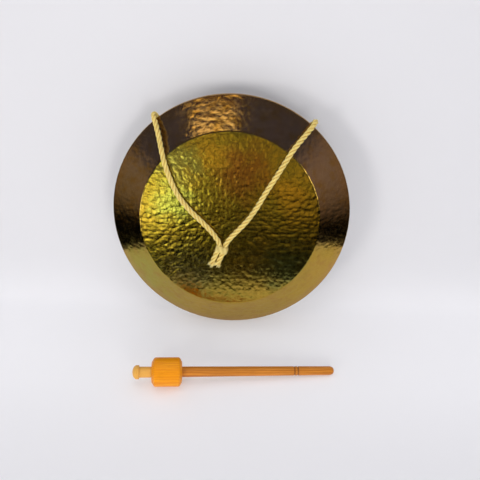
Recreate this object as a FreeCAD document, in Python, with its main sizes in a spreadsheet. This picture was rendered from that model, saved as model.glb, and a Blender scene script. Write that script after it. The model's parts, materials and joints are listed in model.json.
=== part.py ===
"""A hand gong of the tam-tam kind with its carrying cord and its wooden mallet.

The gong is one hammered brass sheet: a slightly domed face, a sloping rim and a short lip
that turns back and carries the two cord holes.  It stands on the lowest point of that lip
and leans back; the cord loop hangs down over the face, and the mallet lies in front.
The origin is the point where the lip stands on the floor, +Z is up, the face looks to -Y.
"""

import FreeCAD, Part
import Sketcher

import math
import os

V = FreeCAD.Vector

# alias, value in millimetres or degrees, meaning
DIMENSIONS = [
    ("gong_radius", 150.0, "rim corner, the widest circle of the gong"),
    ("face_radius", 110.0, "crease between face and sloping rim"),
    ("face_rise", 30.0, "crease in front of the rim corner"),
    ("dome_rise", 3.0, "middle of the face in front of the crease"),
    ("lip_depth", 16.0, "lip, from the rim corner to its back edge"),
    ("lip_draw", 2.5, "how far the lip draws in towards its back edge"),
    ("sheet_gauge", 1.2, "thickness of the brass sheet"),
    ("crease_bend", 3.0, "inside bend radius at the crease"),
    ("corner_bend", 1.5, "inside bend radius at the rim corner"),
    ("lean_angle", 12.0, "lean of the gong, back from upright"),
    ("hole_bore", 9.0, "cord hole"),
    ("hole_setback", 9.0, "cord hole's centre behind the rim corner"),
    ("hole_spread", 39.0, "angle from the hanging line to each cord hole"),
    ("hanging_turn", -1.85, "turn of the hanging line in the gong's plane"),
    ("hole_reach", 12.0, "how far the hole's cut runs each side of the rim radius"),
    ("cord_gauge", 6.5, "cord diameter"),
    ("wrap_gauge", 1.1, "thickness of the twine wrapping"),
    ("wrap_length", 9.0, "length of the twine wrapping along the cord"),
    ("cord_pitch", 6.9, "distance between the two cords inside the wrapping"),
    ("wrap_fit", 0.15, "clearance between cord and wrapping"),
    ("mallet_length", 239.3, "mallet from end to end"),
    ("button_length", 7.9, "domed button at the head end"),
    ("button_dome", 5.2, "rounded part of the button"),
    ("button_radius", 8.2, "button"),
    ("neck_length", 14.3, "bare neck between button and head"),
    ("neck_radius", 6.4, "stick at the button, where its taper starts"),
    ("grip_radius", 5.2, "stick at the grip end, where its taper ends"),
    ("nose_length", 4.4, "rounded nose at the grip end"),
    ("nose_radius", 2.6, "flat end of the nose"),
    ("groove_inset", 44.3, "first turned groove from the grip end"),
    ("groove_pitch", 4.2, "second groove from the first"),
    ("groove_width", 1.4, "turned groove"),
    ("groove_depth", 0.6, "turned groove"),
    ("head_length", 35.7, "mallet head"),
    ("head_radius", 17.0, "mallet head"),
    ("head_end_radius", 11.5, "flat ends of the mallet head"),
    ("bevel_outer", 3.4, "bevel beside the button, along the axis"),
    ("bevel_inner", 3.2, "bevel beside the grip, along the axis"),
    ("head_fit", 0.05, "clearance between stick and head"),
    ("mallet_turn", 7.1, "turn of the mallet on the floor"),
    ("mallet_left", -107.6, "button end of the mallet, X"),
    ("mallet_front", -141.0, "button end of the mallet, Y"),
]

# The cord's route, in the gong's own frame: X right, Y up along the face, Z out of the face.
# Each leg starts over the rim corner and ends in a short tail below the wrapping.
LEFT_LEG = [
    (-93.6, 123.5, 5.5),
    (-86.0, 107.0, 19.5),
    (-80.5, 86.0, 31.5),
    (-76.5, 70.0, 36.0),
    (-69.8, 50.0, 35.2),
    (-62.8, 34.2, 35.6),
    (-54.0, 21.8, 36.1),
    (-44.0, 10.6, 36.4),
    (-32.2, -0.6, 36.6),
    (-22.0, -11.2, 37.0),
    (-15.6, -19.6, 37.6),
    (-11.4, -26.6, 38.2),
    (-12.6, -33.8, 38.2),
    (-16.4, -41.2, 37.5),
    (-19.4, -48.0, 36.7),
    (-21.9, -54.4, 36.0),
]
RIGHT_LEG = [
    (101.4, 117.2, 5.5),
    (91.0, 106.8, 18.0),
    (77.6, 93.2, 29.7),
    (68.5, 80.5, 36.0),
    (55.0, 56.8, 35.5),
    (43.2, 38.0, 36.1),
    (32.2, 17.6, 36.5),
    (20.2, 0.6, 36.8),
    (8.2, -12.0, 37.1),
    (0.6, -20.2, 37.6),
    (-4.2, -27.2, 38.2),
    (-5.4, -34.6, 38.2),
    (-9.2, -42.4, 37.5),
    (-11.9, -48.4, 36.7),
    (-14.3, -54.6, 36.0),
]
# From outside the left hole, through it, along the inside of the lip with a little sag, and
# out through the right hole.
BACK_RUN = [
    (-93.6, 123.5, -9.0),
    (-82.1, 108.4, -9.0),
    (-62.0, 99.0, -10.4),
    (-25.0, 92.5, -11.6),
    (20.0, 91.5, -11.4),
    (62.0, 94.5, -10.2),
    (89.0, 102.9, -9.0),
    (101.4, 117.2, -9.0),
]
CORD_ROUTE = LEFT_LEG[::-1] + BACK_RUN + RIGHT_LEG
CORD_NODES = [
    "cord_left_leg",
    "cord_left_bend",
    "cord_back_run",
    "cord_right_bend",
    "cord_right_leg",
]
WRAP_CENTRE = (-9.1, -34.2, 38.2)
WRAP_ALONG = (-0.30, -0.954, 0.0)
ARC_SHARE = 0.45


class Size:
    """A length that carries its value and the expression that gives it on the sheet."""

    def __init__(self, value, text):
        self.value = value
        self.text = text

    def combined(self, other, sign, value):
        text = other.text if isinstance(other, Size) else str(other)
        return Size(value, f"({self.text} {sign} {text})")

    def __add__(self, other):
        return self.combined(other, "+", self.value + number(other))

    def __sub__(self, other):
        return self.combined(other, "-", self.value - number(other))

    def __mul__(self, other):
        return self.combined(other, "*", self.value * number(other))

    def __truediv__(self, other):
        return self.combined(other, "/", self.value / number(other))


def number(x):
    return x.value if isinstance(x, Size) else float(x)


doc = FreeCAD.newDocument("tam_tam_gong")
sheet = doc.addObject("Spreadsheet::Sheet", "dims")
for row, (alias, value, meaning) in enumerate(DIMENSIONS, start=1):
    sheet.set(f"A{row}", meaning)
    sheet.set(f"B{row}", str(value))
    sheet.setAlias(f"B{row}", alias)
doc.recompute()


def dim(alias):
    return float(sheet.get(alias))


def size(alias):
    return Size(dim(alias), f"dims.{alias}")


ZERO = Size(0.0, "0")


# ---------------------------------------------------------------- sketch helpers


def origin_plane(body, role):
    return next(f for f in body.Origin.OriginFeatures if f.Role == role)


def sketch_on(body, role, name, offset=None):
    sketch = body.newObject("Sketcher::SketchObject", name)
    sketch.AttachmentSupport = [(origin_plane(body, role), "")]
    sketch.MapMode = "FlatFace"
    if offset is not None:
        sketch.AttachmentOffset = offset
    return sketch


def bound(sketch, kind, *args):
    """Adds a dimension whose last argument is a Size, tied to the sheet."""
    size_of = args[-1]
    index = sketch.addConstraint(Sketcher.Constraint(kind, *args[:-1], abs(size_of.value)))
    text = size_of.text if size_of.value >= 0 else f"-({size_of.text})"
    sketch.setExpression(f"Constraints[{index}]", text)


def place_point(sketch, geometry, point, x, y):
    """Fixes a point of the sketch at (x, y), both Sizes."""
    for kind, along, axis in (("DistanceX", x, -2), ("DistanceY", y, -1)):
        if abs(along.value) < 1e-9:
            sketch.addConstraint(Sketcher.Constraint("PointOnObject", geometry, point, axis))
        elif along.value > 0:
            bound(sketch, kind, -1, 1, geometry, point, along)
        else:
            bound(sketch, kind, geometry, point, -1, 1, along)


def closed_outline(sketch, corners):
    """Straight lines through the corners, each corner a pair of Sizes."""
    points = [V(x.value, y.value, 0) for x, y in corners]
    first = None
    for i, start in enumerate(points):
        line = Part.LineSegment(start, points[(i + 1) % len(points)])
        index = sketch.addGeometry(line, False)
        first = index if first is None else first
    count = len(points)
    for i in range(count):
        after = first + (i + 1) % count
        sketch.addConstraint(Sketcher.Constraint("Coincident", first + i, 2, after, 1))
    for i, (x, y) in enumerate(corners):
        place_point(sketch, first + i, 1, x, y)


def revolved(body, sketch, name, axis):
    feature = body.newObject("PartDesign::Revolution", name)
    feature.Profile = sketch
    feature.ReferenceAxis = (sketch, [axis])
    feature.Angle = 360
    doc.recompute()
    return feature


def circle_edge(shape, point):
    """The name of the circular edge about Z that passes nearest a point (radius, height)."""

    def miss(i):
        edge = shape.Edges[i]
        if edge.Degenerated or not isinstance(edge.Curve, Part.Circle):
            return math.inf
        return math.hypot(edge.Curve.Radius - point.x, edge.Curve.Center.z - point.y)

    return f"Edge{min(range(len(shape.Edges)), key=miss) + 1}"


# ---------------------------------------------------------------- gong


def gong_placement():
    """The gong's own frame on the floor: origin at the middle of the rim corner's circle."""
    turn = FreeCAD.Rotation(V(1, 0, 0), 90 - dim("lean_angle"))
    foot = V(0, -(dim("gong_radius") - dim("lip_draw")), -dim("lip_depth"))
    return FreeCAD.Placement(turn.multVec(foot).negative(), turn)


def line_meet(a, along_a, b, along_b):
    """Where two lines of the section cross."""
    cross = along_a.x * along_b.y - along_a.y * along_b.x
    share = ((b.x - a.x) * along_b.y - (b.y - a.y) * along_b.x) / cross
    return a + along_a * share


def section_points():
    """Corners of the gong's section: the outside from crown to lip edge, then the inside."""
    gauge, rise = dim("sheet_gauge"), dim("face_rise")
    crown = V(0, rise + dim("dome_rise"), 0)
    crease = V(dim("face_radius"), rise, 0)
    rim = V(dim("gong_radius"), 0, 0)
    edge = V(dim("gong_radius") - dim("lip_draw"), -dim("lip_depth"), 0)
    slope, lip = (rim - crease).normalize(), (edge - rim).normalize()
    under_slope = rim + V(-slope.y, slope.x, 0) * -gauge
    under_lip = rim + V(-lip.y, lip.x, 0) * -gauge
    inner_rim = line_meet(under_slope, slope, under_lip, lip)
    inner_edge = line_meet(under_lip, lip, edge, V(1, 0, 0))
    inner_crease = line_meet(under_slope, slope, V(0, rise - gauge, 0), V(1, 0, 0))
    return [crown, crease, rim, edge, inner_edge, inner_rim, inner_crease, crown - V(0, gauge, 0)]


def dome_arc(crown, crease):
    """The arc from the crease up to the crown, about a centre on the axis."""
    rise = crown.y - crease.y
    radius = (crease.x**2 + rise**2) / (2 * rise)
    middle = V(0, crown.y - radius, 0)
    start = math.atan2(crease.y - middle.y, crease.x)
    return Part.ArcOfCircle(Part.Circle(middle, V(0, 0, 1), radius), start, math.pi / 2)


def gong_section(body):
    """The bent sheet's section, with sharp bends: domed face, sloping rim and lip."""
    points = section_points()
    crown, crease, rim, edge, inner_edge, inner_rim, inner_crease, inner_crown = points
    sketch = sketch_on(body, "XZ_Plane", "gong_section")
    sketch.addGeometry(dome_arc(crown, crease), False)
    for a, b in zip(points[1:6], points[2:7]):
        sketch.addGeometry(Part.LineSegment(a, b), False)
    sketch.addGeometry(dome_arc(inner_crown, inner_crease), False)
    sketch.addGeometry(Part.LineSegment(inner_crown, crown), False)
    dome, slope, lip, foot, inner_lip, inner_slope, inner_dome, axis = range(8)
    joins = [(dome, 1, slope, 1), (slope, 2, lip, 1), (lip, 2, foot, 1), (foot, 2, inner_lip, 1)]
    joins += [(inner_lip, 2, inner_slope, 1), (inner_slope, 2, inner_dome, 1)]
    joins += [(inner_dome, 2, axis, 1), (axis, 2, dome, 2), (dome, 3, inner_dome, 3)]
    for join in joins:
        sketch.addConstraint(Sketcher.Constraint("Coincident", *join))
    sketch.addConstraint(Sketcher.Constraint("PointOnObject", dome, 3, -2))
    sketch.addConstraint(Sketcher.Constraint("PointOnObject", axis, 1, -2))
    sketch.addConstraint(Sketcher.Constraint("Horizontal", foot))
    sketch.addConstraint(Sketcher.Constraint("Parallel", slope, inner_slope))
    sketch.addConstraint(Sketcher.Constraint("Parallel", lip, inner_lip))
    place_point(sketch, axis, 2, ZERO, size("face_rise") + size("dome_rise"))
    place_point(sketch, slope, 1, size("face_radius"), size("face_rise"))
    place_point(sketch, slope, 2, size("gong_radius"), ZERO)
    bound(sketch, "DistanceX", -1, 1, lip, 2, size("gong_radius") - size("lip_draw"))
    bound(sketch, "DistanceY", lip, 2, -1, 1, size("lip_depth"))
    bound(sketch, "Distance", inner_slope, 1, slope, size("sheet_gauge"))
    bound(sketch, "Distance", inner_lip, 1, lip, size("sheet_gauge"))
    bound(sketch, "DistanceY", axis, 1, axis, 2, size("sheet_gauge"))
    doc.recompute()
    return sketch


def rounded_bend(body, base, name, point, bend):
    feature = body.newObject("PartDesign::Fillet", name)
    feature.Base = (base, [circle_edge(base.Shape, point)])
    feature.Radius = number(bend)
    feature.setExpression("Radius", bend.text)
    doc.recompute()
    return feature


def cord_hole(body, name, angle):
    """Cuts one cord hole through the lip, along the radius at that angle."""
    a = math.radians(angle)
    reach = dim("gong_radius") + dim("hole_reach")
    normal = FreeCAD.Rotation(V(0, 1, 0), math.degrees(math.atan2(math.cos(a), -math.sin(a))))
    base = V(reach * math.cos(a), -dim("hole_setback"), -reach * math.sin(a))
    offset = FreeCAD.Placement(base, normal)
    sketch = sketch_on(body, "XZ_Plane", f"{name}_circle", offset)
    sketch.addGeometry(Part.Circle(V(0, 0, 0), V(0, 0, 1), dim("hole_bore") / 2), False)
    sketch.addConstraint(Sketcher.Constraint("Coincident", 0, 3, -1, 1))
    bound(sketch, "Radius", 0, size("hole_bore") / 2)
    doc.recompute()
    before = body.Shape.Volume
    pocket = body.newObject("PartDesign::Pocket", name)
    pocket.Profile = sketch
    pocket.Length = 2 * dim("hole_reach")
    pocket.setExpression("Length", "2 * dims.hole_reach")
    doc.recompute()
    if not 0.5 < (before - body.Shape.Volume) / hole_volume() < 2:
        raise RuntimeError(f"{name} doesn't cut the lip once")


def hole_volume():
    return math.pi * (dim("hole_bore") / 2) ** 2 * dim("sheet_gauge")


def hole_angles():
    middle = 90 + dim("hanging_turn")
    return middle + dim("hole_spread"), middle - dim("hole_spread")


def make_gong():
    body = doc.addObject("PartDesign::Body", "gong_body")
    turned = revolved(body, gong_section(body), "gong_turned", "V_Axis")
    crease, rim = section_points()[1:3]
    inner_rim, inner_crease = section_points()[5:7]
    inside, outside = size("crease_bend"), size("crease_bend") + size("sheet_gauge")
    feature = rounded_bend(body, turned, "crease_outside", crease, outside)
    feature = rounded_bend(body, feature, "crease_inside", inner_crease, inside)
    inside, outside = size("corner_bend"), size("corner_bend") + size("sheet_gauge")
    feature = rounded_bend(body, feature, "corner_outside", rim, outside)
    rounded_bend(body, feature, "corner_inside", inner_rim, inside)
    left, right = hole_angles()
    cord_hole(body, "left_cord_hole", left)
    cord_hole(body, "right_cord_hole", right)
    body.Placement = gong_placement()
    return body


# ---------------------------------------------------------------- cord


def smooth_route(points):
    """Straight runs (start, end) and the tangent arcs that join them, with their radii."""
    points = [V(*p) for p in points]
    runs = [b - a for a, b in zip(points, points[1:])]
    lines, arcs, radii = [], [], []
    at = points[0]
    for before, after, corner in zip(runs, runs[1:], points[1:]):
        turn = before.getAngle(after)
        tangent = ARC_SHARE * min(before.Length, after.Length)
        radius = tangent / math.tan(turn / 2)
        into, out = V(before).normalize(), V(after).normalize()
        start, stop = corner - into * tangent, corner + out * tangent
        inward = (out - into).normalize()
        middle = corner + inward * (radius / math.cos(turn / 2) - radius)
        lines.append((at, start))
        arcs.append(Part.Arc(start, middle, stop))
        radii.append(radius)
        at = stop
    lines.append((at, points[-1]))
    return lines, arcs, radii


def cord_wires():
    """The route's five stretches: leg, bend over the rim, back run, bend and leg."""
    lines, arcs, radii = smooth_route(CORD_ROUTE)
    print("cord radii " + " ".join(f"{r:.0f}" for r in radii))
    left_hole = len(LEFT_LEG)
    right_hole = left_hole + len(BACK_RUN) - 1
    over_rim = (left_hole - 2, right_hole + 1)
    stretches = [[]]
    for i, (start, stop) in enumerate(lines):
        if i in over_rim:
            middle = (start + stop) * 0.5
            stretches[-1].append(Part.LineSegment(start, middle).toShape())
            stretches.append([])
            start = middle
        stretches[-1].append(Part.LineSegment(start, stop).toShape())
        if i < len(arcs):
            if i + 1 == right_hole:
                stretches.append([])
            stretches[-1].append(arcs[i].toShape())
            if i + 1 == left_hole:
                stretches.append([])
    return {name: Part.Wire(edges) for name, edges in zip(CORD_NODES, stretches)}


def tube_along(wire, diameter):
    first = wire.OrderedEdges[0]
    start = first.valueAt(first.FirstParameter)
    along = first.tangentAt(first.FirstParameter)
    ring = Part.Wire([Part.Circle(start, along, diameter / 2).toShape()])
    shape = wire.makePipeShell([ring], True, False)
    expected = math.pi * diameter**2 / 4 * wire.Length
    if abs(shape.Volume / expected - 1) > 0.01:
        raise RuntimeError(f"tube volume {shape.Volume:.0f}, expected {expected:.0f}")
    return shape


def make_cord(wires):
    """One plain tube for each stretch of the cord."""
    tubes = []
    for name, wire in wires.items():
        tube = doc.addObject("Part::Feature", name)
        tube.Shape = tube_along(wire, dim("cord_gauge"))
        tube.Placement = gong_placement()
        print(f"{name}: {wire.Length:.1f} mm along its middle")
        tubes.append(tube)
    return tubes


def make_wrapping(wires):
    """A slot-shaped pad round both cords, with the cords' own room cut out of it."""
    body = doc.addObject("PartDesign::Body", "wrapping_block")
    sketch = sketch_on(body, "XY_Plane", "wrapping_section")
    half = dim("cord_pitch") / 2
    radius = dim("cord_gauge") / 2 + dim("wrap_gauge")
    up, down, side = V(0, radius, 0), V(0, -radius, 0), V(half, 0, 0)
    quarter = math.pi / 2
    right_end = Part.ArcOfCircle(Part.Circle(side, V(0, 0, 1), radius), -quarter, quarter)
    left_end = Part.ArcOfCircle(Part.Circle(-side, V(0, 0, 1), radius), quarter, 3 * quarter)
    sketch.addGeometry(Part.LineSegment(up + side, up - side), False)
    sketch.addGeometry(Part.LineSegment(down - side, down + side), False)
    sketch.addGeometry(right_end, False)
    sketch.addGeometry(left_end, False)
    for join in [(2, 2, 0, 1), (0, 2, 3, 1), (3, 2, 1, 1), (1, 2, 2, 1)]:
        sketch.addConstraint(Sketcher.Constraint("Tangent", *join))
    sketch.addConstraint(Sketcher.Constraint("PointOnObject", 2, 3, -1))
    sketch.addConstraint(Sketcher.Constraint("Symmetric", 2, 3, 3, 3, -1, 1))
    bound(sketch, "Radius", 2, size("cord_gauge") / 2 + size("wrap_gauge"))
    bound(sketch, "DistanceX", -1, 1, 2, 3, size("cord_pitch") / 2)
    doc.recompute()
    pad = body.newObject("PartDesign::Pad", "wrapping_length")
    pad.Profile = sketch
    pad.Length = dim("wrap_length")
    pad.setExpression("Length", "dims.wrap_length")
    pad.Midplane = True
    doc.recompute()

    along = V(*WRAP_ALONG).normalize()
    across = V(0, 0, 1).cross(along)
    axes = FreeCAD.Rotation(across, V(0, 0, 1), along, "ZXY")
    body.Placement = gong_placement() * FreeCAD.Placement(V(*WRAP_CENTRE), axes)

    room = doc.addObject("Part::Feature", "wrapping_room")
    bore = dim("cord_gauge") + 2 * dim("wrap_fit")
    legs = (wires["cord_left_leg"], wires["cord_right_leg"])
    room.Shape = Part.makeCompound([tube_along(wire, bore) for wire in legs])
    room.Placement = gong_placement()
    wrapping = doc.addObject("Part::Cut", "cord_seizing")
    wrapping.Base = body
    wrapping.Tool = room
    doc.recompute()
    return wrapping


# ---------------------------------------------------------------- mallet


def taper_radius(x):
    """The stick's radius at x, on its straight taper from neck to grip."""
    start = size("button_length")
    end = size("mallet_length") - size("nose_length")
    share = (x - start) / (end - start)
    return size("neck_radius") - (size("neck_radius") - size("grip_radius")) * share


def groove(x):
    """The corners of one turned groove that starts at x."""
    width, depth = size("groove_width"), size("groove_depth")
    floor = taper_radius(x) - depth
    return [(x, taper_radius(x)), (x, floor), (x + width, floor), (x + width, taper_radius(x + width))]


def head_span():
    start = size("button_length") + size("neck_length")
    return start, start + size("head_length")


def make_mallet_stick():
    body = doc.addObject("PartDesign::Body", "mallet_stick")
    sketch = sketch_on(body, "XZ_Plane", "stick_section")
    length = size("mallet_length")
    button, button_end = size("button_radius"), size("button_length")
    dome = size("button_dome")
    second = length - size("groove_inset") - size("groove_pitch")
    first = length - size("groove_inset")
    corners = [(ZERO, ZERO), (ZERO, button * 0.45), (dome * 0.22, button * 0.74)]
    corners += [(dome * 0.6, button * 0.93), (dome, button)]
    corners += [(button_end, button), (button_end, size("neck_radius"))]
    corners += groove(second) + groove(first)
    corners += [(length - size("nose_length"), size("grip_radius"))]
    corners += [(length - size("nose_length") * 0.35, size("grip_radius") * 0.83)]
    corners += [(length, size("nose_radius")), (length, ZERO)]
    closed_outline(sketch, corners)
    doc.recompute()
    revolved(body, sketch, "stick_turned", "H_Axis")
    return body


def make_mallet_head():
    body = doc.addObject("PartDesign::Body", "mallet_head")
    sketch = sketch_on(body, "XZ_Plane", "head_section")
    start, end = head_span()
    flat, radius, fit = size("head_end_radius"), size("head_radius"), size("head_fit")
    corners = [(start, taper_radius(start) + fit), (start, flat)]
    corners += [(start + size("bevel_outer"), radius), (end - size("bevel_inner"), radius)]
    corners += [(end, flat), (end, taper_radius(end) + fit)]
    closed_outline(sketch, corners)
    doc.recompute()
    revolved(body, sketch, "head_turned", "H_Axis")
    return body


def mallet_placement():
    """The mallet rests on the rim of its head and on its grip end."""
    head_foot = number(head_span()[1] - size("bevel_inner"))
    tip_foot = dim("mallet_length") - dim("nose_length")
    drop = (dim("head_radius") - dim("grip_radius")) / (tip_foot - head_foot)
    pitch = math.atan(drop)
    height = head_foot * math.sin(pitch) + dim("head_radius") * math.cos(pitch)
    turn = FreeCAD.Rotation(V(0, 0, 1), dim("mallet_turn"))
    tilt = FreeCAD.Rotation(V(0, 1, 0), math.degrees(pitch))
    return FreeCAD.Placement(V(dim("mallet_left"), dim("mallet_front"), height), turn * tilt)


def make_mallet():
    stick = make_mallet_stick()
    head = make_mallet_head()
    for body in (stick, head):
        body.Placement = mallet_placement()
    return [stick, head]


# ---------------------------------------------------------------- checks and export


def check_and_write(parts):
    doc.recompute()
    for obj in doc.Objects:
        if "Invalid" in obj.State or "Error" in obj.State:
            raise RuntimeError(f"{obj.Name} failed: {obj.State}")
    for part in parts:
        if part.Shape.isNull() or not part.Shape.isValid() or not part.Shape.Solids:
            raise RuntimeError(f"{part.Label} has no valid solid")
    os.makedirs("parts", exist_ok=True)
    for part in parts:
        part.Shape.exportStep(f"parts/{part.Label}.step")
        box = part.Shape.BoundBox
        print(
            f"{part.Label}: {part.Shape.Volume / 1000:.2f} cm3, "
            f"x {box.XMin:.1f}..{box.XMax:.1f}, y {box.YMin:.1f}..{box.YMax:.1f}, "
            f"z {box.ZMin:.1f}..{box.ZMax:.1f}"
        )


def main():
    parts = [make_gong()]
    wires = cord_wires()
    parts += make_cord(wires)
    parts.append(make_wrapping(wires))
    parts += make_mallet()
    check_and_write(parts)
    place = gong_placement()
    left, right = (
        place.multVec((V(*leg[0]) + V(*mouth)) * 0.5)
        for leg, mouth in ((LEFT_LEG, BACK_RUN[0]), (RIGHT_LEG, BACK_RUN[-1]))
    )
    axis = (left - right).normalize()
    print(f"cord hinge: {tuple(round(x, 3) for x in left)} axis {tuple(round(x, 5) for x in axis)}")


main()
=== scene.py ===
"""Looks of a hammered hand gong with its carrying rope and its turned wooden mallet.

The gong leans back on its lip, so its pieces are drawn in the gong's own frame (X right, Y up
along the face, Z out of the face) and then placed by gong_place.
"""

import json
import math
import random

import bpy
from mathutils import Euler, Matrix, Vector


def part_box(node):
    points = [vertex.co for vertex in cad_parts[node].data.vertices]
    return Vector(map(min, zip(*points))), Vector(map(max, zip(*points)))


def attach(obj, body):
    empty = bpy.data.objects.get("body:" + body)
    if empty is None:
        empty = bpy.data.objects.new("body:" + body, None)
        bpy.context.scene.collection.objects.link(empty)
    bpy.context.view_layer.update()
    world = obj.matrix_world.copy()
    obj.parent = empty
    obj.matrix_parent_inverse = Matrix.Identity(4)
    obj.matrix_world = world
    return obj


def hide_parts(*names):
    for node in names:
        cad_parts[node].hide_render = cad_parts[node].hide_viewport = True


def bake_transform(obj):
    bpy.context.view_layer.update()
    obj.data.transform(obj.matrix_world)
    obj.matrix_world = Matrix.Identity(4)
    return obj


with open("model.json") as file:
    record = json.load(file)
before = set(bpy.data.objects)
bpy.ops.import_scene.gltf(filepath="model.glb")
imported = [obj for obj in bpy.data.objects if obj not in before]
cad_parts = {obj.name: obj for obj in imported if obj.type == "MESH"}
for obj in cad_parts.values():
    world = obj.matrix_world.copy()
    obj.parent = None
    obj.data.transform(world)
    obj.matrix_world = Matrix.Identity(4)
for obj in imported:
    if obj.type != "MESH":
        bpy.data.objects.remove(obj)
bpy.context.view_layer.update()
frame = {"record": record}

MM = 0.001
TURN = 2 * math.pi

# ---------------------------------------------------------------- where things are

lean = math.asin(-frame["record"]["mounts"][1]["axis"][2])
gong_low, gong_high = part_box("gong_body")
GONG_RADIUS = gong_high.x
FACE_RADIUS = 110 * MM
FACE_RISE = 30 * MM
DOME_RISE = 3 * MM
LIP_DEPTH = 16 * MM
LIP_DRAW = 2.5 * MM
GAUGE = 1.2 * MM
HOLE_RADIUS = 4.5 * MM
HOLE_SETBACK = 9 * MM
HOLE_SPREAD = math.radians(39)
HANGING_LINE = math.radians(88.15)
gong_turn = Euler((math.pi / 2 - lean, 0, 0))
gong_foot = Vector((0, LIP_DRAW - GONG_RADIUS, -LIP_DEPTH))
gong_origin = -(gong_turn.to_matrix() @ gong_foot)
gong_place = Matrix.Translation(gong_origin) @ gong_turn.to_matrix().to_4x4()

MALLET_LENGTH = 239.3 * MM
HEAD_RADIUS = 17 * MM
HEAD_END_RADIUS = 11.5 * MM
HEAD_START = 22.2 * MM
HEAD_LENGTH = 35.7 * MM
BEVEL_OUTER = 3.4 * MM
BEVEL_INNER = 3.2 * MM
GRIP_RADIUS = 5.2 * MM
NOSE_LENGTH = 4.4 * MM
GROOVES = (44.3 * MM, 48.5 * MM)
GROOVE_WIDTH = 1.4 * MM
GROOVE_DEPTH = 0.6 * MM
head_foot = HEAD_START + HEAD_LENGTH - BEVEL_INNER
mallet_pitch = math.atan((HEAD_RADIUS - GRIP_RADIUS) / (MALLET_LENGTH - NOSE_LENGTH - head_foot))
mallet_turn = Euler((0, mallet_pitch, math.radians(7.1)))
mallet_height = head_foot * math.sin(mallet_pitch) + HEAD_RADIUS * math.cos(mallet_pitch)
mallet_origin = Vector((-107.6 * MM, -141 * MM, mallet_height))
mallet_place = Matrix.Translation(mallet_origin) @ mallet_turn.to_matrix().to_4x4()


# ---------------------------------------------------------------- camera


def make_camera():
    data = bpy.data.cameras.new("camera")
    data.sensor_width = 36
    data.lens = 48
    data.clip_start = 0.01
    camera = bpy.data.objects.new("camera", data)
    camera.location = (0.04096, -0.69140, 0.54154)
    camera.rotation_euler = (math.radians(90 - 31.459), 0, math.radians(2.379))
    bpy.context.scene.collection.objects.link(camera)
    bpy.context.scene.camera = camera


make_camera()


# ---------------------------------------------------------------- helpers


def new_mesh(name, points, faces, smooth=True):
    mesh = bpy.data.meshes.new(name)
    mesh.from_pydata([tuple(p) for p in points], [], faces)
    mesh.validate()
    if smooth:
        mesh.shade_smooth()
    obj = bpy.data.objects.new(name, mesh)
    bpy.context.scene.collection.objects.link(obj)
    return obj


def baked(obj):
    """obj with its modifiers turned into a plain mesh."""
    depsgraph = bpy.context.evaluated_depsgraph_get()
    mesh = bpy.data.meshes.new_from_object(obj.evaluated_get(depsgraph))
    obj.modifiers.clear()
    obj.data = mesh
    return obj


class Nodes:
    """Adds and links the nodes of one tree."""

    def __init__(self, tree):
        self.tree = tree

    def add(self, kind, inputs=None, **settings):
        node = self.tree.nodes.new(kind)
        for name, value in settings.items():
            setattr(node, name, value)
        for name, value in (inputs or {}).items():
            self.feed(node.inputs[name], value)
        return node

    def feed(self, socket, value):
        if isinstance(value, bpy.types.NodeSocket):
            self.tree.links.new(value, socket)
        else:
            socket.default_value = value

    def math(self, operation, a, b=0.0, c=0.0):
        return self.add("ShaderNodeMath", {0: a, 1: b, 2: c}, operation=operation).outputs[0]

    def vector(self, operation, a, b=(0, 0, 0)):
        node = self.add("ShaderNodeVectorMath", {0: a, 1: b}, operation=operation)
        return node.outputs["Value" if operation in ("LENGTH", "DISTANCE") else "Vector"]

    def scaled(self, a, factor):
        node = self.add("ShaderNodeVectorMath", {0: a, "Scale": factor}, operation="SCALE")
        return node.outputs["Vector"]

    def range(self, value, low, high, to_low=0.0, to_high=1.0):
        sockets = {0: value, 1: low, 2: high, 3: to_low, 4: to_high}
        node = self.add("ShaderNodeMapRange", sockets, interpolation_type="SMOOTHSTEP")
        return node.outputs[0]

    def mix(self, share, a, b, blend="MIX"):
        node = self.add("ShaderNodeMix", {0: share, 6: a, 7: b}, data_type="RGBA", blend_type=blend)
        return node.outputs[2]

    def noise(self, vector, scale, detail=2.0, roughness=0.5):
        sockets = {"Vector": vector, "Scale": scale, "Detail": detail, "Roughness": roughness}
        return self.add("ShaderNodeTexNoise", sockets).outputs["Fac"]

    def voronoi(self, vector, scale, randomness=1.0, feature="F1"):
        sockets = {"Vector": vector, "Scale": scale, "Randomness": randomness}
        return self.add("ShaderNodeTexVoronoi", sockets, feature=feature)

    def bump(self, height, distance, strength=1.0, normal=None):
        sockets = {"Height": height, "Distance": distance, "Strength": strength}
        if normal is not None:
            sockets["Normal"] = normal
        return self.add("ShaderNodeBump", sockets).outputs[0]


def rgb(red, green, blue):
    return (red, green, blue, 1.0)


def new_material(name):
    """A material with its Nodes and its Principled shader."""
    material = bpy.data.materials.new(name)
    material.use_nodes = True
    nodes = Nodes(material.node_tree)
    shader = material.node_tree.nodes["Principled BSDF"]
    return material, nodes, shader


def new_geometry_tree(name, inputs):
    """An empty Geometry Nodes tree with named inputs: (name, socket type) each."""
    tree = bpy.data.node_groups.new(name, "GeometryNodeTree")
    tree.interface.new_socket("Geometry", in_out="INPUT", socket_type="NodeSocketGeometry")
    for label, kind in inputs:
        tree.interface.new_socket(label, in_out="INPUT", socket_type=f"NodeSocket{kind}")
    tree.interface.new_socket("Geometry", in_out="OUTPUT", socket_type="NodeSocketGeometry")
    nodes = Nodes(tree)
    start = nodes.add("NodeGroupInput").outputs
    end = nodes.add("NodeGroupOutput").inputs
    return tree, nodes, start, end


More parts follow.
